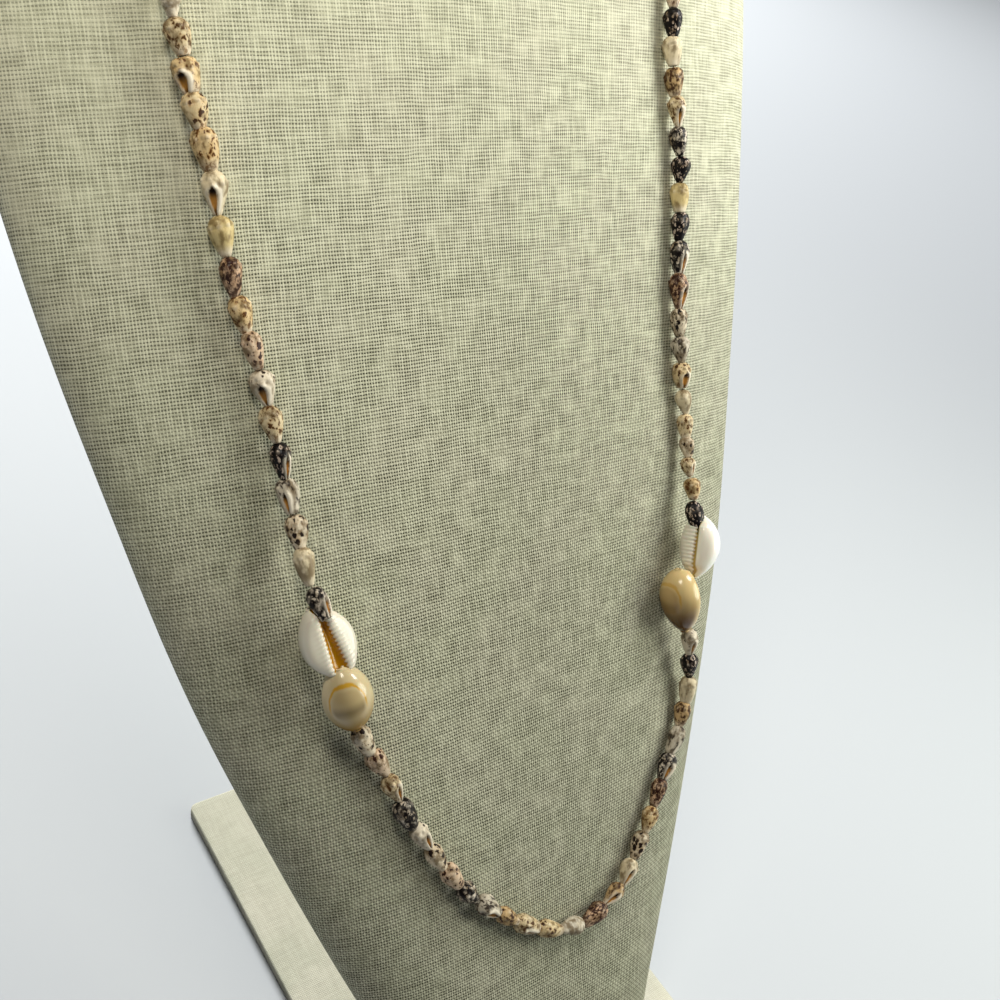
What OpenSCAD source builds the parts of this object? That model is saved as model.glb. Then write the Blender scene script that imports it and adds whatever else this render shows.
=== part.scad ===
// A long necklace of small shells with four cowries, on a leaning neck bust.
// The frame has +Z up, the front towards -Y and its origin under the middle of the base plate.
// The bust has its own coordinates: across, out from its flat back, and up along it.

/* [Base plate] */
// Width of the base plate
plate_w = 120; // [100:1:160]
// Depth of the base plate, front to back
plate_d = 186; // [170:1:220]
// Thickness of the base plate
plate_t = 4; // [2:0.5:10]
// Radius of the base plate's corners
plate_corner_r = 3; // [1:0.5:10]
// From the front edge of the plate to the back of the bust's foot
foot_inset = 40; // [25:1:60]

/* [Neck bust] */
// Length of the bust along its flat back
bust_l = 470; // [460:1:500]
// Width of the bust over its shoulders
shoulder_w = 246; // [240:1:260]
// Depth of the neck from front to back
neck_d = 46; // [36:1:60]
// Radius of the neck's rounded back corners, which the chest's thin rim follows
corner_r = 20; // [17:0.5:22]
// Lean of the bust away from upright, in degrees
lean = 31; // [15:1:33]
// Radius of the rounded edge round the top of the neck
neck_edge_r = 3; // [1:0.5:6]

/* [Small shells] */
// Length of a small shell
shell_l = 8.1; // [7:0.1:9]
// Diameter of a small shell at its shoulder
shell_d = 5.5; // [4.5:0.1:6]
// Gap between one small shell and the next
shell_gap = 0.5; // [0.45:0.05:0.8]

/* [Cowries] */
// Length of a cowrie
cowrie_l = 18; // [15:0.5:21]
// Width of a cowrie
cowrie_w = 13.4; // [11:0.2:15]
// Height of a cowrie from its toothed side to the top of its dome
cowrie_h = 9.6; // [8.6:0.2:10.4]
// Gap between a cowrie and what hangs next to it
cowrie_gap = 0.8; // [0.7:0.05:1.2]
// Width of a cowrie's slit at its wide end
slit_w = 2; // [1.4:0.1:2.6]
// Depth of the slit
slit_depth = 1.3; // [0.6:0.1:1.6]
// Number of teeth on each lip
teeth = 10; // [6:1:12]
// Turn of the right-hand pair about the string, in degrees
pair_turn = 75; // [0:5:90]

/* [String and clasp] */
// Diameter of the string
thread_d = 0.7; // [0.5:0.1:0.8]
// Clearance round the string in each drilled hole
thread_clearance = 0.3; // [0.2:0.05:0.35]
// Gap between the strung pieces and the bust
lay_gap = 0.35; // [0.3:0.05:1]
// Length of the barrel clasp
clasp_l = 10; // [7:0.5:14]
// Diameter of the barrel clasp
clasp_d = 5; // [4:0.5:6]

/* [Hidden] */
$fn = 48;

foot_y = foot_inset - plate_d / 2;
bore_d = thread_d + 2 * thread_clearance;
bore_wall = 0.2;
rise_share = 0.35;
shell_axis = shell_d / 2 + lay_gap;
dome_axis = cowrie_w / 2 + 2 * lay_gap;
rise_axis = mix(shell_axis, dome_axis, rise_share);
neck_axis = shell_axis + lay_gap + pow(shell_l, 2) / (8 * (corner_r + shell_axis));
sole = cowrie_h - cowrie_w / 2;

// Sections of the bust. Columns: height as a share of its length, half width as a share of
// half the shoulder width, thickness in the middle as a share of the neck's depth, radius of
// the back corners as a share of the neck's, and how flat the front is.
SECTIONS = [
    [0.000, 0.310, 0.39, 0.20, 3.3],
    [0.135, 0.512, 0.41, 0.20, 3.3],
    [0.240, 0.650, 0.43, 0.20, 3.3],
    [0.345, 0.772, 0.44, 0.20, 2.9],
    [0.455, 0.862, 0.46, 0.20, 2.3],
    [0.560, 0.935, 0.52, 0.20, 1.8],
    [0.665, 0.984, 0.63, 0.21, 1.6],
    [0.730, 1.000, 0.70, 0.23, 1.6],
    [0.760, 0.985, 0.74, 0.27, 1.6],
    [0.785, 0.915, 0.79, 0.36, 1.7],
    [0.810, 0.800, 0.84, 0.48, 1.8],
    [0.840, 0.650, 0.90, 0.66, 1.9],
    [0.870, 0.545, 0.95, 0.84, 2.0],
    [0.905, 0.470, 0.98, 0.96, 2.0],
    [0.950, 0.430, 1.00, 1.00, 2.0],
    [1.000, 0.415, 1.00, 1.00, 2.0]];

// Chosen points of the string on the front of the bust: across, up, and how high the string's
// axis lies over the linen. It is raised where the cowries lie on their domes, and beside the
// neck, where a straight shell has to clear the round corner.
ROUTE = [
    [-67, 397, neck_axis], [-73, 381, neck_axis], [-77, 363, shell_axis],
    [-80, 342, shell_axis], [-80, 321, shell_axis], [-78, 305, shell_axis],
    [-76, 289, shell_axis], [-75, 272, shell_axis], [-73, 255, shell_axis],
    [-70, 238, shell_axis], [-68, 220, shell_axis], [-67, 201, rise_axis],
    [-65.5, 184, dome_axis], [-62, 166, dome_axis], [-58.5, 147.5, rise_axis],
    [-52, 133, shell_axis], [-47, 118, shell_axis], [-40, 103, shell_axis],
    [-32, 89, shell_axis], [-22, 78, shell_axis], [-12, 69, shell_axis],
    [0, 62, shell_axis], [13, 61, shell_axis], [25, 66, shell_axis],
    [34, 76, shell_axis], [42, 88, shell_axis], [51, 100, shell_axis],
    [59, 112, shell_axis], [61, 126, rise_axis], [59, 142, dome_axis],
    [61, 160, dome_axis], [66.5, 177, dome_axis], [67, 191, rise_axis],
    [69, 205, shell_axis], [68, 220, shell_axis], [68, 236, shell_axis],
    [69, 252, shell_axis], [70, 268, shell_axis], [71, 284, shell_axis],
    [69, 302, shell_axis], [68, 320, shell_axis], [69, 342, shell_axis],
    [70, 363, shell_axis], [69, 381, neck_axis], [65, 397, neck_axis]];

// Rows of the route where the two cowries of a pair meet, the left pair first
PAIR_ROWS = [13, 30];
// Turn of each cowrie: left upper, left lower, right lower, right upper
COWRIE_TURNS = [0, 180, 180 - pair_turn, -pair_turn];

// The string's way round each side of the neck: angles round it, from the side forwards or,
// below 0, back round the corner, and heights as shares of the bust's length
way_start = 10;
way_end = -90;
way_low = 0.885;
nape_height = 0.936;
way_steps = 4;
nape_share = 0.3;

// Outline of a small shell along its length, tip first: radius and length as shares.
SHELL_OUTLINE = [
    [0.31, 0.00], [0.64, 0.07], [0.89, 0.18], [1.00, 0.31], [0.97, 0.43],
    [0.85, 0.60], [0.67, 0.78], [0.49, 0.91], [0.36, 1.00]];

// Whole-number steps along each form
front_steps = 28;
corner_steps = 3;
chest_row_h = 16;
neck_row_h = 7;
spline_steps = 6;
thread_sides = 8;
cowrie_steps = 14;
chest_share = 0.68;

function mix(a, b, u) = a + (b - a) * u;
function unit(v) = v / norm(v);

// Smooth curve through one column of the section table
function row_below(s) = max([for (i = [0 : len(SECTIONS) - 2]) if (s >= SECTIONS[i][0] || i == 0) i]);
function row_slope(i, col) =
    let (a = SECTIONS[max(i - 1, 0)], b = SECTIONS[min(i + 1, len(SECTIONS) - 1)])
    (b[col] - a[col]) / (b[0] - a[0]);
function section_value(s, col) =
    let (i = row_below(s), a = SECTIONS[i], b = SECTIONS[i + 1],
         h = b[0] - a[0], u = min(max((s - a[0]) / h, 0), 1), w = 1 - u)
    a[col] * w * w * (1 + 2 * u) + b[col] * u * u * (3 - 2 * u)
    + h * u * w * (row_slope(i, col) * w - row_slope(i + 1, col) * u);

function half_w(s) = section_value(s, 1) * shoulder_w / 2;
function crown_t(s) = section_value(s, 2) * neck_d;
function edge_r(s) = section_value(s, 3) * corner_r;
function front_t(x, up) =
    let (s = up / bust_l, r = edge_r(s), out = min(abs(x) / half_w(s), 1))
    r + (crown_t(s) - r) * sqrt(1 - pow(out, section_value(s, 4)));

// From the bust's own coordinates to the part's frame
function place(p) = [p[0],
                     foot_y - p[1] * cos(lean) + p[2] * sin(lean),
                     plate_t + p[1] * sin(lean) + p[2] * cos(lean)];

// One section of the bust: across and out from its flat back. The front is a flattened
// ellipse, and quarter circles lead from its ends to the back.
function section_points(s) =
    let (w = half_w(s), r = edge_r(s))
    concat(
        [for (i = [0 : front_steps])
            let (x = w * sin(mix(-90, 90, i / front_steps))) [x, front_t(x, s * bust_l)]],
        [for (i = [1 : corner_steps]) let (a = 90 * i / corner_steps)
            [w - r + r * cos(a), r - r * sin(a)]],
        [for (i = [corner_steps : -1 : 1]) let (a = 90 * i / corner_steps)
            [-w + r - r * cos(a), r - r * sin(a)]]);
ring_n = front_steps + 1 + 2 * corner_steps;

// The foot is cut level with the plate, so its front reaches further down than its back
foot_ring = [for (p = section_points(0)) [p[0], p[1], -p[1] * tan(lean)]];
body_top = bust_l - neck_edge_r;
chest_rows = round(chest_share * bust_l / chest_row_h);
neck_rows = round((body_top - chest_share * bust_l) / neck_row_h);
row_heights = concat(
    [for (k = [1 : chest_rows]) chest_share * bust_l * k / chest_rows],
    [for (k = [1 : neck_rows]) mix(chest_share * bust_l, body_top, k / neck_rows)]);
body_rings = [for (up = row_heights, p = section_points(up / bust_l)) [p[0], p[1], up]];
top_middle = [0, crown_t(1) / 2];
top_rings = [for (a = [30, 60, 90])
    let (up = bust_l - neck_edge_r * (1 - sin(a)), inset = neck_edge_r * (1 - cos(a)))
    for (p = section_points(1))
        let (q = p - inset * unit(p - top_middle))
        [q[0], q[1], up]];
bust_rings = len(row_heights) + 4;

module base_plate() {
    inner = [plate_w - 2 * plate_corner_r, plate_d - 2 * plate_corner_r];
    color("#d8d4bd")
    linear_extrude(plate_t) {
        square([plate_w, inner[1]], center = true);
        square([inner[0], plate_d], center = true);
        for (x = [-1, 1], y = [-1, 1])
            translate([x * inner[0] / 2, y * inner[1] / 2]) circle(plate_corner_r);
    }
}

module neck_bust() {
    points = [for (p = concat(foot_ring, body_rings, top_rings)) place(p)];
    last = (bust_rings - 1) * ring_n;
    foot_middle = len(points);
    sides = [for (k = [0 : bust_rings - 2], i = [0 : ring_n - 1])
        let (j = (i + 1) % ring_n, a = k * ring_n, b = a + ring_n)
        each [[a + i, b + i, a + j], [a + j, b + i, b + j]]];
    caps = [for (i = [0 : ring_n - 1]) let (j = (i + 1) % ring_n)
        each [[foot_middle, i, j], [foot_middle + 1, last + j, last + i]]];
    color("#bdb898")
    polyhedron(concat(points, [place([0, edge_r(0), -edge_r(0) * tan(lean)]),
                               place([0, top_middle[1], bust_l])]),
               concat(sides, caps));
}

// A point beside the neck, where the string climbs to the nape
function neck_point(side, u) =
    let (a = mix(way_start, way_end, u), s = mix(way_low, nape_height, u * (2 - u)),
         w = half_w(s), r = edge_r(s), b = crown_t(s) - r,
         on = a < 0 ? [w - r + r * cos(a), r + r * sin(a)] : [w * cos(a), r + b * sin(a)],
         out = a < 0 ? [cos(a), sin(a)] : unit([cos(a) / w, sin(a) / b]),
         p = on + neck_axis * out)
    [side * p[0], p[1], s * bust_l];

// A point over the front of the bust, lifted square to its surface
function front_point(row) =
    let (x = row[0], up = row[1],
         dx = (front_t(x + 1, up) - front_t(x - 1, up)) / 2,
         dv = (front_t(x, up + 1) - front_t(x, up - 1)) / 2)
    [x, front_t(x, up), up] + row[2] * unit([-dx, 1, -dv]);

back_x = half_w(nape_height) * nape_share;
nape = [0, -shell_axis, nape_height * bust_l];
route = concat(
    [nape, nape - [back_x, 0, 0]],
    [for (k = [way_steps : -1 : 0]) neck_point(-1, k / way_steps)],
    [for (row = ROUTE) front_point(row)],
    [for (k = [0 : way_steps]) neck_point(1, k / way_steps)],
    [nape + [back_x, 0, 0]]);
route_n = len(route);
first_front = 3 + way_steps;

// The smooth closed curve through the route, with the length along it at every sample
function curve_point(i, u) =
    let (a = route[(i + route_n - 1) % route_n], b = route[i % route_n],
         c = route[(i + 1) % route_n], d = route[(i + 2) % route_n])
    0.5 * (2 * b + (c - a) * u + (2 * a - 5 * b + 4 * c - d) * u * u
           + (3 * b - a - 3 * c + d) * u * u * u);
samples = [for (i = [0 : route_n - 1], k = [0 : spline_steps - 1])
    place(curve_point(i, k / spline_steps))];
sample_n = len(samples);
along = [for (i = 0, s = 0; i <= sample_n;
              s = s + norm(samples[(i + 1) % sample_n] - samples[i % sample_n]), i = i + 1) s];
loop_l = along[sample_n];
axis_tables = [for (axis = [0 : 2])
    [for (i = [0 : sample_n]) [along[i], samples[i % sample_n][axis]]]];
function at(s) =
    let (t = s < 0 ? s + loop_l : s > loop_l ? s - loop_l : s)
    [for (axis = [0 : 2]) lookup(t, axis_tables[axis])];

// Stretches of the string, as lengths along it from the middle of the nape. Each cowrie keeps
// its own stretch, and small shells at an even pitch fill what lies between.
cowrie_pitch = cowrie_l + cowrie_gap;
function point_s(i) = along[(first_front + i) * spline_steps];
left_middle = point_s(PAIR_ROWS[0]);
right_middle = point_s(PAIR_ROWS[1]);
function pair(middle) = [[middle - cowrie_pitch, middle], [middle, middle + cowrie_pitch]];
function fill(from, to) =
    let (n = floor((to - from) / (shell_l + shell_gap)), pitch = (to - from) / n)
    [for (i = [0 : n - 1]) [from + i * pitch, from + (i + 1) * pitch]];
cowrie_spans = concat(pair(left_middle), pair(right_middle));
left_string = fill(clasp_l / 2, left_middle - cowrie_pitch);
low_string = fill(left_middle + cowrie_pitch, right_middle - cowrie_pitch);
right_string = fill(right_middle + cowrie_pitch, loop_l - clasp_l / 2);
low_half = floor(len(low_string) / 2);
left_spans = concat(left_string, [for (i = [0 : low_half - 1]) low_string[i]]);
right_spans = concat([for (i = [low_half : len(low_string) - 1]) low_string[i]], right_string);
clasp_span = [loop_l - clasp_l / 2, clasp_l / 2];

// Puts a piece made along Z on the stretch between a and b, its +Z end at a
module strung(a, b) {
    d = unit(at(a) - at(b));
    translate((at(a) + at(b)) / 2)
        rotate([0, acos(d[2]), atan2(d[1], d[0])])
            children();
}

module small_shell() {
    rotate_extrude()
        polygon(concat(
            [[bore_d / 2, shell_l / 2]],
            [for (p = SHELL_OUTLINE)
                [max(p[0] * shell_d / 2, bore_d / 2 + bore_wall), shell_l * (0.5 - p[1])]],
            [[bore_d / 2, -shell_l / 2]]));
}

// The left-hand shells point their tips to the start of the string, the right-hand ones to
// its end, so all of them hang tip up
module shells_left() {
    color("#d9cdb8")
    for (span = left_spans)
        strung(span[0], span[1]) small_shell();
}

module shells_right() {
    color("#cfc0a6")
    for (span = right_spans)
        strung(span[1], span[0]) small_shell();
}

// Half outline of a cowrie: an egg cut square at its drilled ends, the blunt end at +Z
egg_shift = 0.88;
egg_fullness = 0.6;
end_r = bore_d / 2 + 3 * bore_wall;
function egg_r(s) = cowrie_w / 2 * pow(sin(180 * pow(s, egg_shift)), egg_fullness);
egg = [for (i = [1 : cowrie_steps - 1]) let (s = i / cowrie_steps)
    [egg_r(s), cowrie_l * (0.5 - s)]];

// Slit and teeth as shares: the slit of the cowrie's length, the toothed stretch of the slit,
// and a groove of the pitch of the teeth
slit_share = 0.86;
toothed_share = 0.8;
groove_share = 0.4;

// A cowrie along Z with its toothed side towards -Y
module cowrie() {
    slit_l = cowrie_l * slit_share;
    tooth_pitch = slit_l * toothed_share / teeth;
    difference() {
        rotate_extrude()
            polygon(concat([[0, cowrie_l / 2], [end_r, cowrie_l / 2]], egg,
                           [[end_r, -cowrie_l / 2], [0, -cowrie_l / 2]]));
        translate([-cowrie_w, -cowrie_w - sole, -cowrie_l])
            cube([2 * cowrie_w, cowrie_w, 2 * cowrie_l]);
        translate([0, -sole + slit_depth, 0])
            rotate([90, 0, 0])
                linear_extrude(2 * slit_depth)
                    polygon([[-slit_w / 4, slit_l / 2], [slit_w / 4, slit_l / 2],
                             [slit_w / 2, -slit_l / 2], [-slit_w / 2, -slit_l / 2]]);
        for (i = [0 : teeth - 1], side = [-1, 1])
            translate([side * slit_w * 3 / 4, -sole, (i - (teeth - 1) / 2) * tooth_pitch])
                cube([slit_w, slit_depth, tooth_pitch * groove_share], center = true);
        cylinder(d = bore_d, h = 2 * cowrie_l, center = true);
    }
}

// A cowrie hangs blunt end up, and its turn is 0 where its toothed side faces away from the bust
module hung_cowrie(i) {
    span = cowrie_spans[i];
    upper = at(span[0])[2] > at(span[1])[2] ? span[0] : span[1];
    lower = span[0] + span[1] - upper;
    d = unit(at(upper) - at(lower));
    tilt = acos(d[2]);
    heading = atan2(d[1], d[0]);
    out = [0, -cos(lean), sin(lean)];
    e1 = [cos(heading) * cos(tilt), sin(heading) * cos(tilt), -sin(tilt)];
    e2 = [-sin(heading), cos(heading), 0];
    strung(upper, lower)
        rotate(atan2(out * e2, out * e1) + 90 + COWRIE_TURNS[i])
            cowrie();
}

module cowrie_left_upper() { color("#f4efe2") hung_cowrie(0); }
module cowrie_left_lower() { color("#e8dcc0") hung_cowrie(1); }
module cowrie_right_lower() { color("#d9bd86") hung_cowrie(2); }
module cowrie_right_upper() { color("#f2ede2") hung_cowrie(3); }

module clasp() {
    color("#c9c9c9")
    strung(clasp_span[0], clasp_span[1])
        difference() {
            cylinder(d = clasp_d, h = clasp_l - shell_gap, center = true);
            cylinder(d = bore_d, h = 2 * clasp_l, center = true);
        }
}

// The string is a closed tube with a ring in every gap between two strung pieces
module thread() {
    spans = concat(left_string, pair(left_middle), low_string, pair(right_middle), right_string,
                   [clasp_span]);
    path = [for (span = spans) at(span[0])];
    n = len(path);
    inner = place([0, -shoulder_w / 6, 0]);
    up = [0, sin(lean), cos(lean)];
    points = [for (i = [0 : n - 1])
        let (p = path[i],
             d = unit(unit(path[(i + 1) % n] - p) + unit(p - path[(i + n - 1) % n])),
             arm = (p - inner) - ((p - inner) * up) * up,
             u = unit(arm - (arm * d) * d), v = cross(d, u))
        for (k = [0 : thread_sides - 1]) let (a = 360 * k / thread_sides)
            p + thread_d / 2 * (cos(a) * u + sin(a) * v)];
    color("#efe6d0")
    polyhedron(points,
        [for (i = [0 : n - 1], k = [0 : thread_sides - 1])
            let (a = i * thread_sides, b = ((i + 1) % n) * thread_sides, m = (k + 1) % thread_sides)
            each [[a + k, b + k, a + m], [a + m, b + k, b + m]]]);
}

base_plate();
neck_bust();
thread();
clasp();
shells_left();
shells_right();
cowrie_left_upper();
cowrie_left_lower();
cowrie_right_upper();
cowrie_right_lower();
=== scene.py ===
"""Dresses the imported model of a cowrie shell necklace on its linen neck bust, and lights it."""
import math
import bpy
import numpy as np
from mathutils import Matrix, Vector
from mathutils.bvhtree import BVHTree


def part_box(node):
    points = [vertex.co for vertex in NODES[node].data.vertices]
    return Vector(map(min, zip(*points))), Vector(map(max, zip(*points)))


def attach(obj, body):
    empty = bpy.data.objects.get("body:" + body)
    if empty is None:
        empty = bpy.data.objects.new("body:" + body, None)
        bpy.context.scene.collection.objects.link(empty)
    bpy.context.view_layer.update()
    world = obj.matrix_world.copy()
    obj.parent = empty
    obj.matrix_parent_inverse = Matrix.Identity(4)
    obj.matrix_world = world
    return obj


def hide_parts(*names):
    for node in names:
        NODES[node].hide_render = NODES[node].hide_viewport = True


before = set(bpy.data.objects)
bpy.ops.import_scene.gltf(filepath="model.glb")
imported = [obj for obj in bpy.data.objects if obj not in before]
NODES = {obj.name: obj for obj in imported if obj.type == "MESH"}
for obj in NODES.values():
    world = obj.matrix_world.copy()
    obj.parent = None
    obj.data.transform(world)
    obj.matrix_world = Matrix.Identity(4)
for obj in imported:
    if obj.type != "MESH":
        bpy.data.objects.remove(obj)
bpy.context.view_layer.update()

MM = 0.001

# The bust leans back on its plate: its own coordinates are across, out from the flat back, up
LEAN = math.radians(31)
FOOT_Y = -53 * MM
PLATE_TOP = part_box("base_plate")[1][2]
BUST_UP = Vector((0, math.sin(LEAN), math.cos(LEAN)))
BUST_OUT = Vector((0, -math.cos(LEAN), math.sin(LEAN)))
BUST_FOOT = Vector((0, FOOT_Y, PLATE_TOP))

# Strung pieces: what is longer than LONGEST_SMALL is a cowrie
LONGEST_SMALL = 14 * MM
SHELL_R = 2.75 * MM
COWRIE_R = 6.7 * MM
THREAD_R = 0.35 * MM
BORE_R = 0.65 * MM

# Linen
THREAD_PITCH = (0.757 * MM, 0.87 * MM)
PLATE_PITCH = (0.6 * MM, 0.6 * MM)

# The linen's warmer patches, and the small shells' brown patches, partly wear and partly painted shade
LINEN_TINT = (222, 205, 196)
WEAR_AND_SHADE_BROWN = (98, 76, 42)

# Camera, as the photograph was taken
CAMERA_AT = Vector((-179.5, -148.8, 362.1)) * MM
CAMERA_FORWARD = Vector((0.5669, 0.5839, -0.5811))
CAMERA_DOWN = Vector((-0.1994, -0.5872, -0.7845))
CAMERA_LENS = 39.79
CAMERA_SENSOR = 36.0


def unit(v):
    """Rows of v, each of length 1."""
    return v / np.linalg.norm(v, axis=-1, keepdims=True)


def blend_curve(t, rows, at):
    """Smooth curve through rows at t, which may be unevenly spaced, sampled at the given places."""
    t = np.asarray(t, float)
    rows = np.asarray(rows, float)
    flat = rows.reshape(len(t), -1)
    h = np.diff(t)[:, None]
    d = np.diff(flat, axis=0) / h
    slope = np.empty_like(flat)
    slope[1:-1] = (d[:-1] * h[1:] + d[1:] * h[:-1]) / (h[:-1] + h[1:])
    slope[0], slope[-1] = d[0], d[-1]
    at = np.clip(np.asarray(at, float), t[0], t[-1])
    i = np.clip(np.searchsorted(t, at) - 1, 0, len(t) - 2)
    u = ((at - t[i]) / np.diff(t)[i])[:, None]
    hi = h[i]
    out = (flat[i] * (1 - u) ** 2 * (1 + 2 * u) + flat[i + 1] * u * u * (3 - 2 * u)
           + hi * u * (1 - u) * (slope[i] * (1 - u) - slope[i + 1] * u))
    return out.reshape(len(at), *rows.shape[1:])


def ease(x, a, b):
    """0 below a, 1 above b, smooth between."""
    u = np.clip((np.asarray(x, float) - a) / (b - a), 0, 1)
    return u * u * (3 - 2 * u)


def bump_at(x, middle, width):
    return np.exp(-((np.asarray(x, float) - middle) / width) ** 2)


def run_length(points):
    """How far each point lies along the row of them."""
    return np.concatenate([[0], np.cumsum(np.linalg.norm(np.diff(points, axis=0), axis=1))])


def vertices(node):
    """The points of a CAD node's mesh."""
    mesh = NODES[node].data
    co = np.zeros(len(mesh.vertices) * 3)
    mesh.vertices.foreach_get("co", co)
    return co.reshape(-1, 3)


# Meshes
def show(obj):
    bpy.context.scene.collection.objects.link(obj)


def mesh_piece(name, points, faces, material, uv=None):
    """A mesh object from points in metres that rides on the root body."""
    mesh = bpy.data.meshes.new(name)
    mesh.from_pydata(np.asarray(points).reshape(-1, 3).tolist(), [], faces)
    mesh.polygons.foreach_set("use_smooth", [True] * len(mesh.polygons))
    if uv is not None:
        layer = mesh.uv_layers.new(name="Cloth")
        corner = np.zeros(len(mesh.loops), int)
        mesh.loops.foreach_get("vertex_index", corner)
        layer.data.foreach_set("uv", np.asarray(uv, float).reshape(-1, 2)[corner].ravel())
    mesh.materials.append(material)
    mesh.validate()
    obj = bpy.data.objects.new(name, mesh)
    show(obj)
    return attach(obj, "root")


def grid_faces(rows, cols, closed=True, flip=False, first=0):
    """Quads of a grid of rows, each row joined to the next and round on itself if closed."""
    faces = []
    for r in range(rows - 1):
        for c in range(cols if closed else cols - 1):
            a = first + r * cols + c
            b = first + r * cols + (c + 1) % cols
            quad = (a, b, b + cols, a + cols)
            faces.append(quad[::-1] if flip else quad)
    return faces


def set_attribute(obj, name, kind, values):
    """Stores one value a vertex: FLOAT, FLOAT_VECTOR or FLOAT_COLOR."""
    attribute = obj.data.attributes.new(name, kind, "POINT")
    field = {"FLOAT": "value", "FLOAT_VECTOR": "vector", "FLOAT_COLOR": "color"}[kind]
    attribute.data.foreach_set(field, np.asarray(values, np.float32).ravel())


# Material nodes
class Shader:
    """Short calls for the nodes of one material."""

    def __init__(self, name, **surface):
        self.material = bpy.data.materials.new(name)
        self.material.use_nodes = True
        self.nodes = self.material.node_tree.nodes
        self.links = self.material.node_tree.links
        self.bsdf = self.nodes["Principled BSDF"]
        for socket, value in surface.items():
            self.bsdf.inputs[socket.replace("_", " ")].default_value = value

    def put(self, socket, value):
        if isinstance(value, bpy.types.NodeSocket):
            self.links.new(value, socket)
        elif value is not None:
            socket.default_value = value

    def math(self, operation, a, b=None, c=None):
        node = self.nodes.new("ShaderNodeMath")
        node.operation = operation
        for socket, value in zip(node.inputs, (a, b, c)):
            self.put(socket, value)
        return node.outputs[0]

    def ramp(self, value, low, high, to_low=0.0, to_high=1.0):
        node = self.nodes.new("ShaderNodeMapRange")
        node.interpolation_type = "SMOOTHSTEP"
        for name, item in (("Value", value), ("From Min", low), ("From Max", high),
                           ("To Min", to_low), ("To Max", to_high)):
            self.put(node.inputs[name], item)
        return node.outputs["Result"]

    def mix(self, share, a, b):
        node = self.nodes.new("ShaderNodeMix")
        node.data_type = "RGBA"
        self.put(node.inputs["Factor"], share)
        for socket, value in zip([i for i in node.inputs if i.type == "RGBA"], (a, b)):
            self.put(socket, value)
        return [o for o in node.outputs if o.type == "RGBA"][0]

    def attribute(self, name, output="Color"):
        node = self.nodes.new("ShaderNodeAttribute")
        node.attribute_name = name
        return node.outputs[output]

    def parts(self, vector):
        node = self.nodes.new("ShaderNodeSeparateXYZ")
        self.put(node.inputs[0], vector)
        return node.outputs

    def join(self, x, y, z):
        node = self.nodes.new("ShaderNodeCombineXYZ")
        for socket, value in zip(node.inputs, (x, y, z)):
            self.put(socket, value)
        return node.outputs[0]

    def plus(self, a, b):
        return self.math("ADD", a, b)

    def times(self, a, b):
        return self.math("MULTIPLY", a, b)

    def less(self, a, b):
        return self.math("SUBTRACT", a, b)

    def scaled(self, x, by_x, y, by_y, z):
        """A place for a noise that is stretched."""
        return self.join(self.times(x, by_x), self.times(y, by_y), z)

    def noise(self, vector, scale, detail=2.0, rough=0.5):
        node = self.nodes.new("ShaderNodeTexNoise")
        self.put(node.inputs["Vector"], vector)
        node.inputs["Scale"].default_value = scale
        node.inputs["Detail"].default_value = detail
        node.inputs["Roughness"].default_value = rough
        return node.outputs["Fac"]

    def voronoi(self, vector, scale):
        node = self.nodes.new("ShaderNodeTexVoronoi")
        self.put(node.inputs["Vector"], vector)
        node.inputs["Scale"].default_value = scale
        return node.outputs

    def relief(self, height, distance, strength=1.0):
        node = self.nodes.new("ShaderNodeBump")
        node.inputs["Distance"].default_value = distance
        node.inputs["Strength"].default_value = strength
        self.put(node.inputs["Height"], height)
        self.put(self.bsdf.inputs["Normal"], node.outputs["Normal"])

    def colour(self, value):
        self.put(self.bsdf.inputs["Base Color"], value)
        return self.material


def rgb(r, g, b):
    """Display colour, 0 to 255 each, as a linear one."""
    return tuple(((c / 255 + 0.055) / 1.055) ** 2.4 if c > 10 else c / 3295 for c in (r, g, b)) + (1.0,)


def linear(colour):
    """A display colour as a linear row of three."""
    return np.array(rgb(*colour)[:3])


def woven(s, x, y, slub_across, slub_up):
    """Height of a plain weave, 0 in its gaps: full rows across, thinner threads up between them. x and y
    grow by half a turn from thread to thread, and the slubs are where threads swell."""
    sx, sy = s.math("SINE", x), s.math("SINE", y)
    in_warp, in_weft = s.math("ABSOLUTE", sx), s.math("ABSOLUTE", sy)
    weft_edge = s.ramp(slub_across, 0.3, 0.7, 0.76, 0.52)
    warp_edge = s.ramp(slub_up, 0.3, 0.7, 0.95, 0.74)
    weft = s.ramp(in_weft, s.less(weft_edge, 0.30), s.plus(weft_edge, 0.20))
    warp = s.ramp(in_warp, s.less(warp_edge, 0.22), s.plus(warp_edge, 0.12))
    warp_over = s.ramp(s.times(sx, sy), -0.3, 0.3)
    weft_height = s.times(weft, s.ramp(warp_over, 0.0, 1.0, 1.0, 0.90))
    warp_height = s.times(warp, s.ramp(warp_over, 0.0, 1.0, 0.85, 1.0))
    return s.math("MAXIMUM", weft_height, warp_height), in_warp


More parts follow.
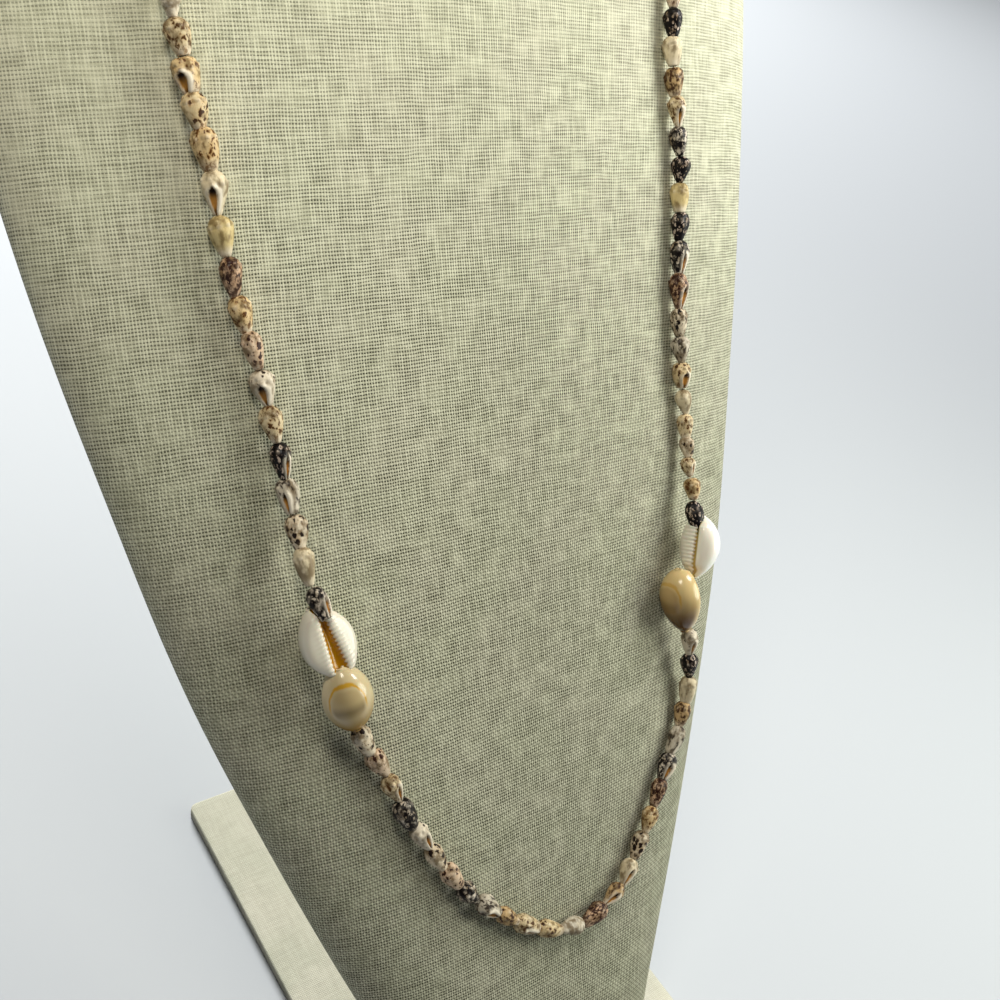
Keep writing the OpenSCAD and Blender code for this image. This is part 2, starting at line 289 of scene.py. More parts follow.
def linen(name, light, shade, gap, pitch, depth):
    """Linen on the piece's own cloth lengths, with painted light: its gaps fill in towards the top and the
    left edge, so it is brighter there. pitch is the spacing of its threads."""
    s = Shader(name, Roughness=0.95, Specular_IOR_Level=0.1, Sheen_Weight=0.04)
    node = s.nodes.new("ShaderNodeUVMap")
    node.uv_map = "Cloth"
    across, up, _ = s.parts(node.outputs[0])
    place = s.join(across, up, 0.0)
    aside = s.parts(s.nodes.new("ShaderNodeTexCoord").outputs["Object"])[0]
    drift = s.noise(place, 70.0, 3.0)
    wave = s.noise(s.scaled(across, 160.0, up, 900.0, 7.0), 1.0)
    x = s.math("MULTIPLY_ADD", across, math.pi / pitch[0], s.times(drift, 4.0))
    y = s.math("MULTIPLY_ADD", up, math.pi / pitch[1], s.times(drift, -4.0))
    y = s.plus(y, s.times(wave, 1.2))
    slub_across = s.noise(s.scaled(across, 110.0, up, 1250.0, 3.0), 1.0)
    slub_up = s.noise(s.scaled(across, 1400.0, up, 110.0, 0.0), 1.0)
    height, in_warp = woven(s, x, y, slub_across, slub_up)
    # The gaps between the upright threads are deeper on the right
    between = s.ramp(aside, -0.04, 0.01, 0.78, 0.48)
    height = s.times(height, s.ramp(in_warp, 0.1, 0.9, between, 1.0))
    closed = s.ramp(s.noise(place, 150.0, 2.0), 0.4, 0.75, 0.0, 0.35)
    # Painted light: the gaps fill in towards the top and the left edge, which brightens the linen there
    closed = s.plus(closed, s.ramp(up, 0.22, 0.40, 0.0, 0.55))
    closed = s.plus(closed, s.ramp(aside, -0.10, -0.06, 0.16, 0.0))
    height = s.math("MULTIPLY_ADD", s.less(1.0, height), closed, height)
    thread = s.mix(s.ramp(s.plus(slub_up, slub_across), 0.8, 1.2, 0.0, 1.0), shade, light)
    # Low down, painted shade runs slantwise over the threads' crossings, as raking light would leave it
    slant = s.ramp(s.math("COSINE", s.plus(x, y)), -1.0, 1.0)
    slant = s.times(slant, s.ramp(up, 0.15, 0.29, 0.36, 0.0))
    thread = s.mix(slant, thread, gap)
    tint = s.mix(s.ramp(s.noise(place, 45.0, 2.0), 0.35, 0.65, 0.0, 0.10), thread, rgb(*LINEN_TINT))
    s.relief(height, depth)
    # Painted shade: the colour follows the weave's height, dark as the gap colour between the threads and
    # a little darker where threads pass under
    return s.colour(s.mix(height, gap, tint))


def shell_material():
    """Small shells: flecks, light spots on dark ones, blotches, brown patches that are partly wear and
    partly painted shade, and painted places.
    """
    s = Shader("small_shell", Roughness=0.4, Specular_IOR_Level=0.15, Coat_Weight=0.05,
               Coat_Roughness=0.2)
    place = s.attribute("place", "Vector")
    fleck_size, dark, blotch = s.parts(s.attribute("marks", "Vector"))
    sway = s.times(s.noise(place, 0.8, 2.0), 2.2)
    lean = s.times(s.noise(s.join(sway, sway, 4.0), 1.3, 1.0), 1.5)
    node = s.nodes.new("ShaderNodeVectorMath")
    node.operation = "ADD"
    s.put(node.inputs[0], place)
    s.put(node.inputs[1], s.join(sway, lean, sway))
    bent = node.outputs[0]
    fine = s.noise(place, 0.9, 3.0, 0.6)
    cells = s.voronoi(bent, 0.72)
    luck = s.parts(cells["Color"])[0]
    size = s.times(fleck_size, s.ramp(luck, 0.0, 1.0, 0.2, 1.15))
    fleck = s.ramp(s.less(size, cells["Distance"]), -0.02, 0.10)
    halo = s.ramp(s.less(s.times(size, 1.5), cells["Distance"]), -0.1, 0.3)
    spots = s.voronoi(bent, 1.05)
    spot_size = s.ramp(s.parts(spots["Color"])[1], 0.0, 1.0, 0.08, 0.58)
    light_spot = s.ramp(s.less(spot_size, spots["Distance"]), -0.02, 0.07)
    ground = s.ramp(s.plus(dark, s.times(fine, 0.6)), 0.75, 0.95)
    shadowed = s.times(ground, s.less(1.0, light_spot))
    patch = s.ramp(s.plus(fine, blotch), 0.94, 1.06)
    speck = s.voronoi(place, 1.5)
    speck_size = s.times(fleck_size, s.ramp(s.parts(speck["Color"])[2], 0.45, 1.0, 0.0, 0.8))
    small = s.ramp(s.less(speck_size, speck["Distance"]), 0.0, 0.12, 0.0, 0.75)
    marked = s.math("MAXIMUM", s.math("MAXIMUM", fleck, small), s.math("MAXIMUM", shadowed, patch))
    warmth = s.math("MAXIMUM", s.ramp(fine, 0.3, 0.7, 0.0, 0.35), s.times(halo, 0.7))
    base = s.mix(warmth, s.attribute("tone"), s.attribute("tone2"))
    # Brown patches at random, partly wear and partly painted shade
    wear_and_shade = s.ramp(s.noise(place, 0.45, 3.0, 0.55), 0.42, 0.62, 0.0, 0.75)
    base = s.mix(s.times(wear_and_shade, s.attribute("mark_amount", "Fac")), base, rgb(*WEAR_AND_SHADE_BROWN))
    base = s.mix(s.times(marked, s.attribute("mark_amount", "Fac")), base, s.attribute("mark"))
    base = s.mix(s.attribute("paint_amount", "Fac"), base, s.attribute("paint"))
    s.relief(s.noise(place, 2.5, 3.0), 0.00012, 0.6)
    return s.colour(base)


def cowrie_material():
    """Glossy shell: painted tones from the mesh and a golden ring drawn on the dome."""
    s = Shader("cowrie_gloss", Roughness=0.22, Specular_IOR_Level=0.3, Coat_Weight=0.3,
               Coat_Roughness=0.04)
    s.bsdf.inputs["Subsurface Weight"].default_value = 0.08
    s.bsdf.inputs["Subsurface Scale"].default_value = 0.002
    place = s.attribute("place", "Vector")
    x, side, z = s.parts(place)
    ring_x, ring_z, ring_amount = s.parts(s.attribute("ring", "Vector"))
    wobble = s.times(s.less(s.noise(place, 0.45, 2.0), 0.5), 0.5)
    u = s.math("DIVIDE", s.less(x, ring_x), RING_HALF[0])
    v = s.math("DIVIDE", s.less(z, ring_z), RING_HALF[1])
    far_x = s.math("POWER", s.math("ABSOLUTE", u), RING_SQUARE)
    far_z = s.math("POWER", s.math("ABSOLUTE", v), RING_SQUARE)
    away = s.math("POWER", s.plus(far_x, far_z), 1 / RING_SQUARE)
    away = s.plus(away, s.times(wobble, 0.35))
    from_line = s.math("ABSOLUTE", s.less(away, 1.0))
    line = s.ramp(from_line, 0.02, 0.10, 1.0, 0.0)
    bar = s.times(s.ramp(from_line, 0.05, 0.15, 1.0, 0.0), s.ramp(v, 0.75, 0.95))
    open_end = s.ramp(v, -0.7, 0.1)
    on_dome = s.ramp(side, -0.5, 0.5)
    ring = s.times(s.math("MAXIMUM", s.times(line, open_end), bar), on_dome)
    ring = s.times(ring, ring_amount)
    inside = s.times(s.ramp(away, 1.02, 0.7), s.times(on_dome, ring_amount))
    from_band = s.math("ABSOLUTE", s.plus(v, 0.35))
    band = s.times(inside, s.ramp(from_band, 0.0, 0.5, 1.0, 0.0))
    base = s.mix(s.times(inside, 0.6), s.attribute("tone"), s.attribute("tone2"))
    base = s.mix(s.times(band, 0.55), base, rgb(100, 78, 36))
    base = s.mix(s.times(ring, 0.9), base, rgb(196, 146, 14))
    base = s.mix(s.attribute("paint_amount", "Fac"), base, s.attribute("paint"))
    return s.colour(base)


def plain(name, colour, **surface):
    s = Shader(name, **surface)
    return s.colour(colour)


# Neck bust
def bust_rings():
    """The sections of the CAD bust in its own coordinates, each from the middle of the back round."""
    co = vertices("neck_bust")
    local = co - np.array(BUST_FOOT)
    points = np.stack([local[:, 0], local @ np.array(BUST_OUT), local @ np.array(BUST_UP)], 1)
    on_plate = co[:, 2] < PLATE_TOP + 0.1 * MM
    above = points[~on_plate]
    above = above[np.argsort(above[:, 2])]
    breaks = np.where(np.diff(above[:, 2]) > 0.2 * MM)[0] + 1
    rings = []
    for level in [points[on_plate], *np.split(above, breaks)]:
        ring = np.unique(np.round(level, 6), axis=0)
        middle = (ring[:, 1].min() + ring[:, 1].max()) / 2
        ring = ring[(abs(ring[:, 0]) > 1 * MM) | (ring[:, 1] > ring[:, 1].max() - 1 * MM)]
        turn = np.arctan2(ring[:, 0], middle - ring[:, 1]) % (2 * math.pi)
        ring = ring[np.argsort(turn)]
        back = (ring[0] + ring[-1]) / 2
        rings.append(np.vstack([back, ring, back]))
    return rings


def cap_rows(row, shares):
    """Rows that close a ring towards its middle."""
    middle = row.mean(axis=0)
    return np.array([middle + (row - middle) * share for share in shares])


def make_bust(material):
    """The bust over the CAD's sections, smooth between them, with cloth lengths for the weave."""
    around, upward, rounded = 260, 230, 8
    rings = bust_rings()
    lengths = []
    for ring in rings:
        length = run_length(ring)
        lengths.append(length / length[-1])
    share = np.mean(lengths, axis=0)
    at = np.linspace(0, 1, around + 1)
    fine = np.array([blend_curve(length, ring, np.interp(at, share, length))
                     for length, ring in zip(lengths, rings)])
    middle = around // 2
    height = run_length(fine[:, middle])
    rows = np.concatenate([np.linspace(0, height[-4], upward),
                           np.linspace(height[-4], height[-1], rounded)[1:]])
    surface = blend_curve(height, fine, rows)
    step = np.linalg.norm(np.diff(surface, axis=1), axis=2)
    length = np.concatenate([np.zeros((len(rows), 1)), np.cumsum(step, axis=1)], axis=1)
    cloth = np.stack([length[:, middle:middle + 1] - length, surface[:, :, 2]], axis=2)
    sole = cap_rows(surface[0], (0.01, 0.5))
    lid = cap_rows(surface[-1], (0.66, 0.33, 0.01))
    surface = np.vstack([sole, surface, lid])
    cloth = np.vstack([sole[:, :, :2], cloth, lid[:, :, :2]])
    world = (np.array(BUST_FOOT) + surface[:, :, :1] * np.array([1.0, 0, 0])
             + surface[:, :, 1:2] * np.array(BUST_OUT) + surface[:, :, 2:] * np.array(BUST_UP))
    faces = grid_faces(len(surface), around + 1, closed=False, flip=True)
    bust = mesh_piece("bust_linen", world, faces, material, uv=cloth)
    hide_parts("neck_bust")
    return bust


def make_plate(material):
    """The base plate with its corners and edges eased."""
    low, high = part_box("base_plate")
    corner, edge, steps = 3 * MM, 0.7 * MM, 8
    half = ((high - low) / 2).xy
    outline = []
    for quarter, (sx, sy) in enumerate(((1, 1), (-1, 1), (-1, -1), (1, -1))):
        for k in range(steps + 1):
            a = math.radians(90 * (quarter + k / steps))
            outline.append((sx * (half[0] - corner), sy * (half[1] - corner), math.cos(a), math.sin(a)))
    outline = np.array(outline)
    rows = [(corner * 0.01, low[2]), (corner - edge, low[2])]
    for turn in np.linspace(-90, 90, 9):
        a = math.radians(turn)
        level = low[2] + edge if turn < 0 else high[2] - edge
        rows.append((corner - edge + edge * math.cos(a), level + edge * math.sin(a)))
    rows += [(corner * 0.01, high[2])]
    centre = (low + high) / 2
    points = []
    for radius, z in rows:
        xy = outline[:, :2] + radius * outline[:, 2:] + np.array(centre.xy)
        points.append(np.column_stack([xy, np.full(len(xy), z)]))
    for z, first in ((low[2], True), (high[2], False)):
        row = np.column_stack([points[0][:, :2] * 0.001, np.full(len(outline), z)])
        points = [row] + points if first else points + [row]
    points = np.array(points)
    faces = grid_faces(len(points), len(outline))
    plate = mesh_piece("plate_linen", points, faces, material, uv=points[:, :, :2])
    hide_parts("base_plate")
    return plate


# String and places along it
def gap_points():
    """Middles of the thread's rings, one in every gap, from the clasp down the left side and round."""
    left = np.unique(np.round(vertices("thread"), 6), axis=0)
    middles = []
    while len(left):
        near = np.linalg.norm(left - left[0], axis=1) < 2 * MM
        middles.append(left[near].mean(axis=0))
        left = left[~near]
    middles = np.array(middles)
    low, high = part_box("clasp")
    ends = np.argsort(np.linalg.norm(middles - np.array((low + high) / 2), axis=1))[:2]
    first, last = sorted(ends, key=lambda i: middles[i][0])
    order, rest = [first], set(range(len(middles))) - {first, last}
    while rest:
        here = middles[order[-1]]
        order.append(min(rest, key=lambda i: np.linalg.norm(middles[i] - here)))
        rest.remove(order[-1])
    return middles[order + [last]]


class String:
    """The loop as a smooth closed curve, measured from the clasp's left end."""

    def __init__(self, points):
        wrap = 4
        ring = np.vstack([points[-wrap:], points, points[:wrap + 1]])
        length = run_length(ring)
        self.t = length - length[wrap]
        self.ring = ring
        self.starts = self.t[wrap:wrap + len(points) + 1]
        self.total = self.starts[-1]

    def at(self, s):
        return blend_curve(self.t, self.ring, np.atleast_1d(s))


bust_tree = BVHTree.FromObject(NODES["neck_bust"], bpy.context.evaluated_depsgraph_get())


def outward(point):
    """Direction from the bust to a point that lies over it."""
    near = bust_tree.find_nearest(Vector(point))[0]
    return np.array((Vector(point) - near).normalized())


def standing(bottom, top, facing):
    """Columns right, facing and up of a piece whose axis runs from bottom to top, for its viewer."""
    up = unit(top - bottom)
    face = unit(facing - up * (facing @ up))
    return np.stack([np.cross(up, face), face, up], axis=1)


def make_thread(string, material):
    """Two plies twisted round each other along the whole loop."""
    count, sides, twist = 1500, 5, 2.4 * MM
    s = np.linspace(0, string.total, count, endpoint=False)
    middle = string.at(s)
    ahead = unit(np.roll(middle, -1, axis=0) - np.roll(middle, 1, axis=0))
    aside = unit(np.cross(ahead, np.array(BUST_UP) + 0.3 * np.array(BUST_OUT)))
    over = np.cross(aside, ahead)
    points, faces = [], []
    for ply in (0, math.pi):
        turn = (2 * math.pi * np.round(string.total / twist) / string.total * s + ply)[:, None]
        core = middle + THREAD_R / 2 * (np.cos(turn) * aside + np.sin(turn) * over)
        ring = [core + THREAD_R * 0.55 * (math.cos(a) * aside + math.sin(a) * over)
                for a in np.arange(sides) * 2 * math.pi / sides]
        ring = np.stack(ring, axis=1)
        ring = np.vstack([ring, ring[:1]])
        faces += grid_faces(count + 1, sides, first=len(points) * (count + 1) * sides)
        points.append(ring)
    thread = mesh_piece("string_plies", np.array(points), faces, material)
    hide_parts("thread")
    return thread


# Small shells
# Share of the length from the narrow end, and radius there as a share of the widest
SHELL_PROFILE = ((0.00, 0.40), (0.08, 0.52), (0.20, 0.66), (0.38, 0.84), (0.55, 0.97), (0.68, 1.00),
                 (0.81, 0.92), (0.93, 0.70), (1.00, 0.36))
# Where each turn of the spire begins, from the top of the opening up
WHORLS = ((0.00, -1.4), (0.62, 0.0), (0.76, 1.0), (0.87, 2.0), (0.945, 3.0), (1.00, 4.0))
RIBBED_WHORLS = ((0.00, -0.6), (0.15, 0.0), (0.36, 1.0), (0.55, 2.0), (0.72, 3.0), (0.86, 4.0),
                 (1.00, 5.0))
SHELL_AROUND = 44
SHELL_ROWS = 40

# Looks: two tones of the ground, the marks' colour, the size of flecks, how dark the ground is,
# the blotches, the grain of the pattern across and along, and how white the narrow end is
LOOKS = {
    "plain": ((234, 224, 200), (214, 194, 158), (160, 120, 80), 0.0, 0.0, 0.25, (0.9, 0.5), 0.6),
    "white": ((238, 231, 219), (216, 202, 182), (64, 48, 42), 0.30, 0.0, 0.2, (0.8, 0.6), 0.6),
    "white_dots": ((236, 227, 211), (196, 168, 134), (48, 32, 27), 0.50, 0.0, 0.25, (1.0, 0.75), 0.4),
    "cream_dots": ((230, 214, 178), (188, 148, 98), (92, 58, 32), 0.44, 0.0, 0.3, (1.0, 0.75), 0.7),
    "specks": ((230, 216, 184), (192, 156, 108), (112, 74, 38), 0.38, 0.0, 0.42, (1.0, 0.8), 0.8),
    "amber": ((230, 208, 166), (186, 138, 76), (118, 74, 34), 0.42, 0.0, 0.4, (1.0, 0.8), 0.7),
    "tan": ((214, 186, 144), (178, 138, 94), (92, 60, 38), 0.34, 0.0, 0.48, (0.9, 0.6), 0.8),
    "yellow": ((222, 206, 158), (204, 178, 118), (150, 114, 60), 0.0, 0.0, 0.2, (0.8, 0.5), 0.9),
    "grey": ((214, 209, 199), (172, 162, 148), (84, 72, 62), 0.34, 0.0, 0.44, (0.9, 0.45), 0.6),
    "pink_dots": ((230, 210, 190), (200, 160, 130), (74, 42, 33), 0.46, 0.0, 0.25, (1.1, 0.9), 0.5),
    "net": ((230, 221, 205), (200, 180, 154), (36, 25, 22), 0.45, 0.5, 0.3, (1.0, 0.7), 0.2),
    "dark_net": ((226, 218, 210), (196, 182, 170), (28, 19, 19), 0.3, 0.64, 0.3, (0.85, 0.6), 0.0),
    "black": ((206, 192, 186), (150, 130, 126), (19, 12, 14), 0.4, 0.9, 0.3, (1.1, 0.75), 0.0),
    "rust_net": ((216, 184, 158), (184, 138, 110), (66, 33, 25), 0.3, 0.6, 0.3, (1.0, 0.7), 0.3),
    "ribbed": ((236, 231, 222), (212, 196, 164), (178, 158, 130), 0.0, 0.0, 0.2, (0.8, 0.8), 0.3),
}
LIP_WHITE = (244, 238, 228)
# Painted shade deep in the opening's two ends
HOLE_SHADE = (34, 18, 10)
HOLE_AMBER = (190, 136, 64)
# What age and wear leave of each light tone's red, green and blue
AGED = np.array([0.9, 0.85, 0.76])
# How much of each mark's colour is left
MARK_SHARE = 0.55


def shell_form(look, opening, whorls, rng):
    """Points of one small shell of length 1 and radius 1, narrow end at 0, with its colours.
    The opening faces direction 0 and angles grow to its viewer's right."""
    t = np.linspace(-math.pi, math.pi, SHELL_AROUND, endpoint=False)
    angle = t - 0.6 * np.sin(t)
    lower = np.linspace(0, 0.55, 17)
    s = np.concatenate([lower, np.linspace(0.55, 1, SHELL_ROWS - 16)[1:]])
    profile = np.array(SHELL_PROFILE)
    radius = blend_curve(profile[:, 0], profile[:, 1:], s)[:, 0]
    radius = np.maximum(radius, 0.3) ** rng.uniform(0.6, 1.35)
    steps = np.array(whorls)
    s, angle = s[:, None], angle[None, :]
    count = np.interp(s, steps[:, 0], steps[:, 1])
    width = opening * (0.45 + 0.55 * np.sin(math.pi * np.clip(s / 0.62, 0, 1) ** 1.3))
    width = width * ease(0.66 - s, 0.0, 0.10) + 1e-4
    middle = 0.22 * (s - 0.3)
    q = (angle - middle) / width
    behind = (angle - middle - width) % (2 * math.pi)
    phase = count - behind / (2 * math.pi)
    turn = np.round(phase)
    groove = bump_at(phase, turn, 0.13) * (turn >= 0)
    rising = np.where(phase > 0, phase % 1 - 0.5, 0.0)
    cut = np.clip(1 - abs(q) ** 3, 0, 1)
    along = ease(0.74 - s, 0, 0.14) * ease(s, -0.04, 0.08)
    rim = bump_at(angle, middle + width + 0.27, 0.24) * along * (opening > 0)
    inner_rim = bump_at(q, -1.0 - 0.15 / width, 0.2 / width) * ease(0.66 - s, 0, 0.12)
    steepness = 0.07 if look == "ribbed" else 0.025
    form = radius[:, None] * (1 - steepness * groove + steepness * rising)
    form = form * (1 + 0.11 * rim + 0.03 * inner_rim) * (1 - 0.36 * cut)
    knobs = np.cos(angle * 7 + rng.uniform(0, 6)) * bump_at(phase, 0.3, 0.5) * ease(s, 0.42, 0.56)
    bulge = 0.04 * np.sin(angle * 2 + rng.uniform(0, 6))
    bulge = bulge + 0.03 * np.sin(angle * 3 + s * 5 + rng.uniform(0, 6))
    form = form * (1 + 0.11 * knobs + bulge)
    each = np.ones_like(form)
    shell = {"s": s * each, "angle": angle * each, "radius": form, "grain": LOOKS[look][6]}
    shell.update(shell_colours(look, s * each, knobs, steepness * groove, cut, rim, inner_rim))
    return shell


def shell_colours(look, s, knobs, grooves, cut, rim, inner_rim):
    """What the material reads at each point: the ground's tones with painted shade in the grooves and
    between the knobs, marks, and the opening's paint with painted shade at its ends.
    """
    tone, tone2, mark, dot, dark, blotch, _, pale = LOOKS[look]
    white = ease(0.34 - s, 0.0, 0.3) * pale
    white = np.clip(white + 0.55 * np.clip(knobs, 0, 1), 0, 1)
    base = linear(tone) + (linear(LIP_WHITE) - linear(tone)) * white[..., None]
    # Painted shade: darker in the grooves between the whorls and in the hollows between the knobs
    base = base * AGED * (1 - (3 * grooves + 0.4 * np.clip(-knobs, 0, 1))[..., None])
    # Painted shade: the opening's inside turns near black towards its two ends, where it runs deep
    ends = np.clip(bump_at(s, 0.54, 0.12) + 0.8 * bump_at(s, 0.08, 0.07), 0, 1)
    inside = linear(HOLE_AMBER) + (linear(HOLE_SHADE) - linear(HOLE_AMBER)) * ends[..., None]
    opened = ease(cut, 0.1, 0.5)
    amount = np.maximum(np.maximum(opened, np.clip(1.3 * rim, 0, 0.95)), 0.5 * inner_rim)
    paint = np.where((opened > 0.05)[..., None], inside, linear(LIP_WHITE) * AGED)
    three = np.ones_like(base)
    return {"tone": base, "tone2": three * linear(tone2) * AGED,
            "mark": three * linear(mark) * MARK_SHARE, "marks": three * np.array([dot, dark, blotch]),
            "mark_amount": 1 - 0.7 * white, "paint": paint, "paint_amount": amount}


def place_shell(form, frame3, bottom, length, girth, rng):
    """Points in the part's frame, with the turned-in ends, and the pattern's place for each."""
    right, face, up = frame3[:, 0], frame3[:, 1], frame3[:, 2]
    ring = np.cos(form["angle"])[..., None] * face + np.sin(form["angle"])[..., None] * right
    flesh = form["radius"][..., None] * girth * ring
    height = form["s"][..., None] * length * up
    points = bottom + flesh + height
    round_hole = BORE_R * 0.9 * ring
    lower = [bottom + round_hole[0] + up * 0.6 * MM, bottom + round_hole[0]]
    upper = [bottom + round_hole[-1] + up * length, bottom + round_hole[-1] + up * (length - 0.6 * MM)]
    points = np.concatenate([lower, points, upper])
    across, along = form["grain"]
    pattern = np.stack([np.cos(form["angle"]) * form["radius"] * girth * across,
                        np.sin(form["angle"]) * form["radius"] * girth * across,
                        form["s"] * length * along], axis=2) / MM
    pattern = pattern + rng.uniform(-60, 60, 3)
    return points, pattern


def strung_shells(name, node, rows, material):
    """Joins small shells into one piece. Each row is look, opening, bottom, top, facing, girth, whorls."""
    size = (SHELL_ROWS + 4) * SHELL_AROUND
    points, faces = [], []
    colours = ("tone", "tone2", "mark", "paint")
    vectors = ("marks", "place")
    shares = ("mark_amount", "paint_amount")
    fields = {key: [] for key in colours + vectors + shares}
    rng = np.random.default_rng(len(name) * 7 + len(rows))
    for look, opening, bottom, top, facing, girth, whorls in rows:
        form = shell_form(look, opening, whorls, rng)
        length = np.linalg.norm(top - bottom)
        axes = standing(bottom, top, facing)
        shape, form["place"] = place_shell(form, axes, bottom, length, girth, rng)
        faces += grid_faces(SHELL_ROWS + 4, SHELL_AROUND, first=len(points) * size)
        points.append(shape)
        for key, values in fields.items():
            part = form[key]
            part = np.concatenate([part[:1], part[:1], part, part[-1:], part[-1:]])
            values.append(part.reshape(size, -1))
    piece = mesh_piece(name, np.array(points), faces, material)
    joined = {key: np.concatenate(values) for key, values in fields.items()}
    for key in colours:
        colour = np.column_stack([joined[key], np.ones(len(joined[key]))])
        set_attribute(piece, key, "FLOAT_COLOR", colour)
    for key in vectors:
        set_attribute(piece, key, "FLOAT_VECTOR", joined[key])
    for key in shares:
        set_attribute(piece, key, "FLOAT", joined[key])
    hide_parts(node)
    return piece


# Half widths of the openings, and the width of shell from which it is the wide one
NARROW, WIDE, FAT_SHELL = 0.26, 0.42, 1.08
# The shells that the photograph shows: look, turn of the opening from the viewer, length, width.
# Left side from the cowries up, the low stretch from left to right, right side from the cowries up.
LEFT_SHOWN = (
    ("dark_net", 78, 8.6, 0.88), ("plain", 165, 8.8, 1.0), ("white_dots", 200, 8.8, 1.05),
    ("grey", -5, 8.8, 1.0), ("black", 60, 9.0, 0.95), ("specks", 190, 9.2, 1.0),
    ("white", 5, 9.2, 1.1), ("pink_dots", 160, 8.6, 0.95), ("amber", 200, 8.6, 1.0),
    ("rust_net", 150, 9.2, 1.0), ("yellow", 170, 9.4, 1.05), ("plain", 10, 9.6, 1.1),
    ("amber", 170, 8.8, 1.1), ("cream_dots", 190, 7.6, 1.08), ("amber", -5, 7.8, 1.1),
    ("specks", 200, 7.4, 1.05), ("ribbed", 180, 7.6, 0.9))
LOW_SHOWN = (
    ("white_dots", 180, 9.0, 1.0), ("pink_dots", 150, 8.6, 1.0), ("specks", 55, 8.8, 1.0),
    ("dark_net", 180, 9.0, 1.1), ("white", 50, 8.8, 1.0), ("white_dots", 190, 8.8, 0.95),
    ("pink_dots", 170, 8.6, 1.0), ("dark_net", 200, 9.2, 1.1), ("grey", 0, 9.2, 1.1),
    ("tan", 180, 8.6, 0.95), ("specks", -10, 9.2, 1.0), ("cream_dots", 160, 8.6, 0.95),
    ("ribbed", 180, 9.6, 1.0),
    ("rust_net", 180, 9.2, 1.05), ("tan", 15, 8.8, 0.95), ("plain", 20, 9.0, 1.0),
    ("white_dots", 200, 8.8, 1.0), ("amber", 170, 8.8, 1.0), ("rust_net", 190, 8.8, 0.95),
    ("dark_net", 10, 8.8, 1.05), ("grey", 180, 8.8, 1.0), ("tan", 170, 8.6, 1.0),
    ("plain", 180, 8.8, 1.0), ("black", 200, 8.8, 1.0), ("white", 20, 8.8, 0.95))
RIGHT_SHOWN = (
    ("black", 180, 8.8, 1.0), ("amber", 170, 7.0, 1.0), ("specks", 40, 6.5, 0.9),
    ("white_dots", 190, 6.1, 0.9), ("specks", 170, 7.7, 0.95), ("plain", 180, 8.1, 0.95),
    ("cream_dots", 15, 7.9, 1.1), ("grey", 160, 8.3, 1.05), ("net", 190, 8.8, 1.0),
    ("rust_net", 40, 10.2, 1.1), ("dark_net", 30, 9.5, 1.05), ("black", 170, 8.7, 1.05),
    ("yellow", 180, 8.7, 1.0), ("black", 190, 7.6, 1.05), ("dark_net", 160, 8.4, 1.0),
    ("specks", 5, 8.5, 1.0), ("tan", 200, 8.3, 1.05), ("plain", 170, 8.1, 1.05),
    ("black", 190, 7.4, 1.0))
# Where the photograph's viewer stands, in degrees round the string
VIEWER = -38
# How far each shell's ends are off the string at most, and how far it reaches past its place
SHAKE = 0.4 * MM
END_OVERLAP = 0.1 * MM
# How far the shell next to a pair of cowries overlaps the upper one
PERCH = 3.9 * MM


def stretch(string, start, end, shown, hidden, shown_last, rng):
    """Rows for the shells that fill a stretch of the string: the shown ones and the hidden rest."""
    names = [n for n in LOOKS if n != "ribbed"]
    sizes = np.array([row[2] for row in shown]) * MM
    rest = (end - start - sizes.sum()) / hidden if hidden else 0.0
    if not hidden:
        sizes = sizes * (end - start) / sizes.sum()
    unseen = [(names[rng.integers(len(names))], rng.uniform(0, 360), rest / MM, rng.uniform(0.94, 1.06))
              for _ in range(hidden)]
    gone = np.full(hidden, rest)
    order = unseen + list(shown) if shown_last else list(shown) + unseen
    sizes = np.concatenate([gone, sizes] if shown_last else [sizes, gone])
    rows, s = [], start
    for (look, turn, _, width), size in zip(order, sizes):
        rows.append((look, turn, *string.at([s, s + size]), width))
        s = s + size
    return rows


def perched(row, tip, top):
    """A shell that rides up on the cowrie that it touches: how far its ends move, in millimetres."""
    look, turn, bottom, upper, width = row
    return look, turn, bottom + np.array(tip) * MM, upper + np.array(top) * MM, width


def finish_rows(rows):
    """Adds opening, facing and whorls to rows of look, turn, bottom, top and width, and lets each shell
    hang a little out of line."""
    done = []
    shake = np.random.default_rng(5)
    for look, turn, bottom, top, width in rows:
        out = outward((bottom + top) / 2)
        bottom = bottom + shake.uniform(-SHAKE, SHAKE, 3)
        top = top + shake.uniform(-SHAKE, SHAKE, 3)
        right, face, up = standing(bottom, top, out).T
        a = math.radians(turn + VIEWER)
        facing = face * math.cos(a) + right * math.sin(a)
        whorls = RIBBED_WHORLS if look == "ribbed" else WHORLS
        opening = WIDE if width > FAT_SHELL else NARROW
        more = up * END_OVERLAP
        done.append((look, opening, bottom - more, top + more, facing, SHELL_R * width, whorls))
    return done


# Cowries
COWRIE_ROWS = 150
WALL_STEPS, BASE_STEPS, DOME_STEPS = 5, 18, 18
TOOTH_PITCH = 1.2 * MM
# How far the lips turn in to the slit
LIP_DROP = 0.45 * MM
SLIT_ORANGE = (176, 122, 4)
# Half sizes of the golden ring in millimetres, and how square it is
RING_HALF = (5.2, 5.0)
RING_SQUARE = 2.8


def cowrie_frame(node, upper, lower):
    """Columns X, Y and up of a cowrie: its flat toothed side faces away from Y."""
    mesh = NODES[node].data
    area = {}
    up = unit(upper - lower)
    for face in mesh.polygons:
        normal = np.array(face.normal)
        if abs(normal @ up) < 0.05:
            key = tuple(np.round(normal, 2))
            total, way = area.get(key, (0.0, normal))
            area[key] = (total + face.area, way)
    base = max(area.values(), key=lambda item: item[0])[1]
    dome = unit(-base + up * (base @ up))
    return np.stack([np.cross(dome, up), dome, up], axis=1)


